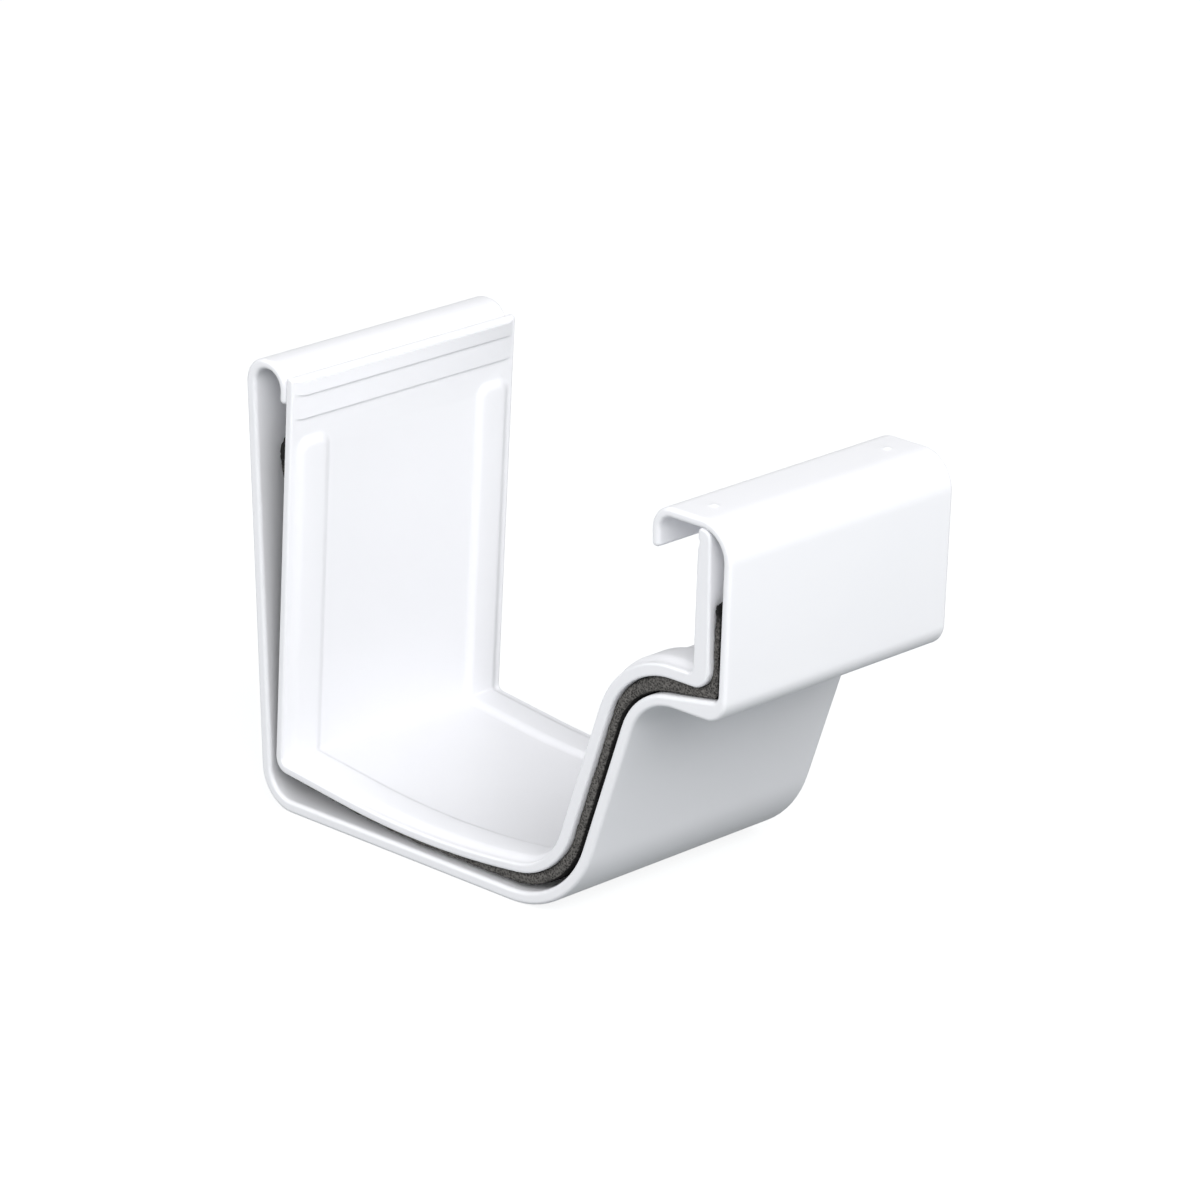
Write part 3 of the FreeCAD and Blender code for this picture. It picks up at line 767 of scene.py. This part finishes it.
# %% Node helpers
def new_group(name, inputs, outputs):
    """An empty shader group with named float or colour sockets."""
    group = bpy.data.node_groups.new(name, "ShaderNodeTree")
    for label, kind, value in inputs:
        socket = group.interface.new_socket(label, in_out="INPUT", socket_type=kind)
        socket.default_value = value
    for label, kind in outputs:
        group.interface.new_socket(label, in_out="OUTPUT", socket_type=kind)
    return group, group.nodes.new("NodeGroupInput"), group.nodes.new("NodeGroupOutput")


def add_noise(tree, vector, scale, detail, roughness):
    node = tree.nodes.new("ShaderNodeTexNoise")
    node.inputs["Scale"].default_value = scale
    node.inputs["Detail"].default_value = detail
    node.inputs["Roughness"].default_value = roughness
    tree.links.new(vector, node.inputs["Vector"])
    return node.outputs["Fac"]


def add_range(tree, value, low, high):
    """Spread a value from 0 to 1 over another range. Low and high are numbers or sockets."""
    node = tree.nodes.new("ShaderNodeMapRange")
    tree.links.new(value, node.inputs["Value"])
    for label, amount in (("To Min", low), ("To Max", high)):
        if isinstance(amount, bpy.types.NodeSocket):
            tree.links.new(amount, node.inputs[label])
        else:
            node.inputs[label].default_value = amount
    return node.outputs["Result"]


def add_math(tree, operation, first, second):
    """Join two value sockets by an operation."""
    node = tree.nodes.new("ShaderNodeMath")
    node.operation = operation
    tree.links.new(first, node.inputs[0])
    tree.links.new(second, node.inputs[1])
    return node.outputs["Value"]


def add_mix(tree, amount, first, second):
    """Blend two colour sockets."""
    node = tree.nodes.new("ShaderNodeMix")
    node.data_type = "RGBA"
    tree.links.new(amount, node.inputs["Factor"])
    tree.links.new(first, node.inputs["A"])
    tree.links.new(second, node.inputs["B"])
    return node.outputs["Result"]


def new_material(name):
    """A material with its tree and its shader."""
    material = bpy.data.materials.new(name)
    material.use_nodes = True
    return material, material.node_tree, material.node_tree.nodes["Principled BSDF"]


print("node helpers are ready")

# %% Vinyl group
COLOUR, NUMBER = "NodeSocketColor", "NodeSocketFloat"
WHITE = (1.0, 1.0, 1.0, 1.0)
CLOUD_SCALE, STREAK_SCALE, STREAK_STRETCH = 45.0, 180.0, (0.35, 1.0, 1.0)
VINYL_DETAIL, VINYL_GRAIN = 2.0, 0.5
vinyl_group, given, made = new_group(
    "moulded_vinyl",
    [("Pale", COLOUR, WHITE), ("Deep", COLOUR, WHITE), ("Gloss", NUMBER, 0.2), ("Dull", NUMBER, 0.3)],
    [("Colour", COLOUR), ("Roughness", NUMBER)])
where = vinyl_group.nodes.new("ShaderNodeTexCoord").outputs["Object"]
stretch = vinyl_group.nodes.new("ShaderNodeMapping")
stretch.inputs["Scale"].default_value = STREAK_STRETCH
vinyl_group.links.new(where, stretch.inputs["Vector"])
clouds = add_noise(vinyl_group, where, CLOUD_SCALE, VINYL_DETAIL, VINYL_GRAIN)
streaks = add_noise(vinyl_group, stretch.outputs["Vector"], STREAK_SCALE, VINYL_DETAIL, VINYL_GRAIN)
colour = add_mix(vinyl_group, clouds, given.outputs["Pale"], given.outputs["Deep"])
vinyl_group.links.new(colour, made.inputs["Colour"])
gloss = add_range(vinyl_group, streaks, given.outputs["Gloss"], given.outputs["Dull"])
vinyl_group.links.new(gloss, made.inputs["Roughness"])
print("vinyl group puts out", [socket.name for socket in made.inputs if socket.name])

# %% Vinyl materials
VINYL_IOR = 1.53


def make_vinyl(name, pale, deep, gloss, dull):
    material, tree, shader = new_material(name)
    effect = tree.nodes.new("ShaderNodeGroup")
    effect.node_tree = vinyl_group
    effect.inputs["Pale"].default_value = (*pale, 1.0)
    effect.inputs["Deep"].default_value = (*deep, 1.0)
    effect.inputs["Gloss"].default_value = gloss
    effect.inputs["Dull"].default_value = dull
    tree.links.new(effect.outputs["Colour"], shader.inputs["Base Color"])
    tree.links.new(effect.outputs["Roughness"], shader.inputs["Roughness"])
    shader.inputs["IOR"].default_value = VINYL_IOR
    print("vinyl:", name)
    return material


shell_pale, shell_deep = (0.88, 0.882, 0.905), (0.86, 0.864, 0.89)
liner_pale, liner_deep = (0.872, 0.874, 0.897), (0.852, 0.856, 0.882)
shell_vinyl = make_vinyl("white_shell_vinyl", shell_pale, shell_deep, gloss=0.285, dull=0.34)
liner_vinyl = make_vinyl("white_liner_vinyl", liner_pale, liner_deep, gloss=0.3, dull=0.38)
shell.data.materials.append(shell_vinyl)
liner.data.materials.append(liner_vinyl)

# %% [markdown]
# ## Dark foam
# The foam is brown-grey, and its cut cells show as specks. A picture of foam would need the skin laid out
# flat, but a texture in space doesn't. A Voronoi texture gives the cells: dark in their middles, paler on
# the walls between them. Noise breaks up the tone, the cells set the height of the bump, and a value from
# the mesh paints shade on the foam along the walls and at its ends.

# %% Foam material
CELL_SCALE, TONE_SCALE, TONE_DETAIL, TONE_GRAIN = 2300.0, 420.0, 4.0, 0.6
FOAM_DARK, FOAM_PALE = (0.014, 0.0135, 0.013, 1.0), (0.15, 0.143, 0.135, 1.0)
DARK_UNTIL, PALE_FROM = 0.1, 0.75
BUMP_STRENGTH, BUMP_HEIGHT = 0.8, 0.0003
foam, tree, shader = new_material("dark_seal_foam")
where = tree.nodes.new("ShaderNodeTexCoord").outputs["Object"]
cells = tree.nodes.new("ShaderNodeTexVoronoi")
cells.inputs["Scale"].default_value = CELL_SCALE
tree.links.new(where, cells.inputs["Vector"])
tone = add_noise(tree, where, TONE_SCALE, TONE_DETAIL, TONE_GRAIN)
uneven = add_range(tree, tone, low=0.6, high=1.5)
specks = add_math(tree, "MULTIPLY", cells.outputs["Distance"], uneven)
# Painted shade from the mesh: the specks grow darker along the walls and towards the upper ends
painted_shade_attribute = tree.nodes.new("ShaderNodeAttribute")
painted_shade_attribute.attribute_name = "painted_shade"
unshaded_share = add_range(tree, painted_shade_attribute.outputs["Fac"], low=1.0, high=0.1)
shaded_specks = add_math(tree, "MULTIPLY", specks, unshaded_share)
ramp = tree.nodes.new("ShaderNodeValToRGB")
dark, pale = ramp.color_ramp.elements
dark.position, dark.color = DARK_UNTIL, FOAM_DARK
pale.position, pale.color = PALE_FROM, FOAM_PALE
tree.links.new(shaded_specks, ramp.inputs["Fac"])
tree.links.new(ramp.outputs["Color"], shader.inputs["Base Color"])
tree.links.new(add_range(tree, tone, low=0.85, high=1.0), shader.inputs["Roughness"])
bump = tree.nodes.new("ShaderNodeBump")
bump.inputs["Strength"].default_value = BUMP_STRENGTH
bump.inputs["Distance"].default_value = BUMP_HEIGHT
tree.links.new(specks, bump.inputs["Height"])
tree.links.new(bump.outputs["Normal"], shader.inputs["Normal"])
shader.inputs["Specular IOR Level"].default_value = 0.2
for strip in (strip_left, strip_right):
    strip.data.materials.append(foam)
print("foam is on", strip_left.name, "and", strip_right.name)

# %% [markdown]
# ## Floor
# The part stands on a plain pale floor. To the camera the floor glows almost to white, and the lamplight
# that it catches takes it the rest of the way, so the soft shadow under the part stays. It glows less in
# reflections, and its own colour is a middle grey, so little light bounces up under the front.

# %% Floor
FLOOR_HALF, SEEN_GLOW, MIRRORED_GLOW = 8.0, 0.86, 0.34
floor_sheet = bmesh.new()
bmesh.ops.create_grid(floor_sheet, x_segments=1, y_segments=1, size=FLOOR_HALF)
floor_mesh = bpy.data.meshes.new("floor")
floor_sheet.to_mesh(floor_mesh)
floor_sheet.free()
floor = bpy.data.objects.new("floor", floor_mesh)
bpy.context.scene.collection.objects.link(floor)

paper, tree, shader = new_material("pale_floor")
shader.inputs["Base Color"].default_value = (0.207, 0.223, 0.23, 1.0)
shader.inputs["Roughness"].default_value = 0.9
shader.inputs["Specular IOR Level"].default_value = 0.1
shader.inputs["Emission Color"].default_value = WHITE
rays = tree.nodes.new("ShaderNodeLightPath")
seen = add_range(tree, rays.outputs["Is Camera Ray"], low=0.0, high=SEEN_GLOW)
mirrored = add_range(tree, rays.outputs["Is Glossy Ray"], low=0.0, high=MIRRORED_GLOW)
passed = add_range(tree, rays.outputs["Is Transmission Ray"], low=0.0, high=SEEN_GLOW)
glow = add_math(tree, "ADD", add_math(tree, "ADD", seen, mirrored), passed)
tree.links.new(glow, shader.inputs["Emission Strength"])
floor_mesh.materials.append(paper)
print("the floor is", round(floor.dimensions.x, 1), "m wide")

# %% [markdown]
# ## Light
# White gloss needs large soft lamps, or its highlights turn into hard spots. Three broad discs stand over
# the front, one stands by the camera and lights the slits, one at the left grazes the ends and the hook,
# and two weak ones behind keep the back from going dark. A faint world fills what they miss.

# %% World and lamps
WORLD_COLOUR, WORLD_STRENGTH = (0.95, 0.97, 1.0, 1.0), 0.2
LAMP_SIZE, LAMP_AIM = 1.2, Vector((0.0, 0.0, 0.05))
world = bpy.data.worlds.new("studio")
bpy.context.scene.world = world
world.use_nodes = True
background = world.node_tree.nodes["Background"]
background.inputs["Color"].default_value = WORLD_COLOUR
background.inputs["Strength"].default_value = WORLD_STRENGTH


def add_lamp(name, place, power):
    """A round lamp that points at the part."""
    lamp = bpy.data.lights.new(name, "AREA")
    lamp.shape = "DISK"
    lamp.size = LAMP_SIZE
    lamp.energy = power
    lamp_object = bpy.data.objects.new(name, lamp)
    lamp_object.location = place
    lamp_object.rotation_mode = "QUATERNION"
    lamp_object.rotation_quaternion = (LAMP_AIM - Vector(place)).to_track_quat("-Z", "Y")
    bpy.context.scene.collection.objects.link(lamp_object)
    print("lamp", name, "at", place)


add_lamp("key", (-0.5, -1.0, 1.1), 8.9)
add_lamp("front", (0.0, -1.2, 0.95), 9.8)
add_lamp("right", (0.5, -1.0, 1.0), 2.2)
add_lamp("camera_side", (-0.98, -1.02, 0.75), 10.0)
add_lamp("left_back", (-1.1, 0.6, 0.6), 9.4)
add_lamp("back", (0.2, 0.8, 1.2), 1.6)
add_lamp("right_back", (1.0, 1.0, 0.3), 1.5)

# %% [markdown]
# ## Camera
# A long lens from about a metre away gives the flat perspective of a product picture. The heading turns
# from +Y towards +X, and the dip looks down.

# %% Camera
HEADING, DIP, DISTANCE = 44.77, 19.96, 1.163
LENS, SENSOR = 180.0, 36.0
aim = Vector((-0.0007, -0.0027, 0.0529))
look = Vector((sine(HEADING) * cosine(DIP), cosine(HEADING) * cosine(DIP), -sine(DIP)))
camera_data = bpy.data.cameras.new("camera")
camera_data.lens = LENS
camera_data.sensor_width = SENSOR
camera = bpy.data.objects.new("camera", camera_data)
camera.location = aim - look * DISTANCE
camera.rotation_mode = "QUATERNION"
camera.rotation_quaternion = look.to_track_quat("-Z", "Y")
bpy.context.scene.collection.objects.link(camera)
bpy.context.scene.camera = camera
bpy.context.scene.view_settings.view_transform = "Standard"
print("camera at", [round(value, 3) for value in camera.location])
